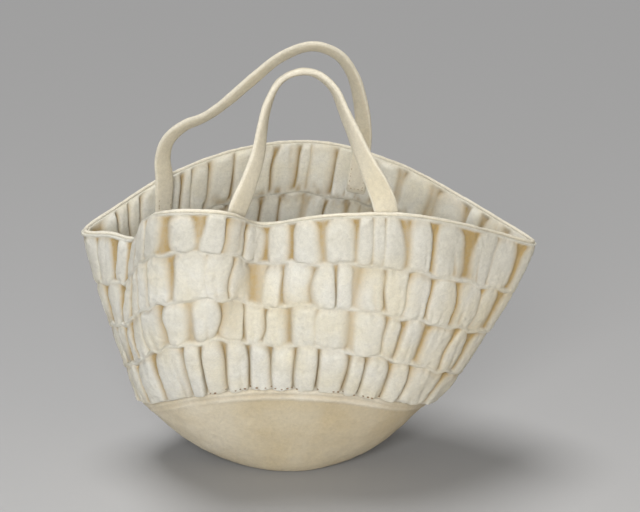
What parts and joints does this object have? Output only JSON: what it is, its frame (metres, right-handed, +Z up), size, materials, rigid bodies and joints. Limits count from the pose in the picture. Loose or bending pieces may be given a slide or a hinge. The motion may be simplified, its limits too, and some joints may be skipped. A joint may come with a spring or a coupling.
{
  "type": "felt bag",
  "caption": "Soft hand bag of gathered felt bands on a dished round base, with a bound lens-shaped mouth and two flat strap handles.",
  "frame": {"origin": "middle of the flat patch that the base rests on", "axes": "+Z up out of the mouth, +X to the right and -Y to the front as the bag faces the viewer"},
  "size_m": [0.4016, 0.2482, 0.3695],
  "materials": {
    "plain_felt": "smooth cream wool felt, slightly shaded with age",
    "pleated_felt": "soft ivory wool felt with a short nap, browner in the slits",
    "binding_felt": "smooth off-white felt strip",
    "strap_felt": "firm cream felt strap"
  },
  "bodies": {
    "root": {"base": "plain_felt", "band_bottom": "pleated_felt", "band_lower": "pleated_felt", "band_upper": "pleated_felt", "band_top": "pleated_felt", "rim_binding": "binding_felt", "handle_front": "strap_felt", "handle_back": "strap_felt"}
  },
  "joints": []
}
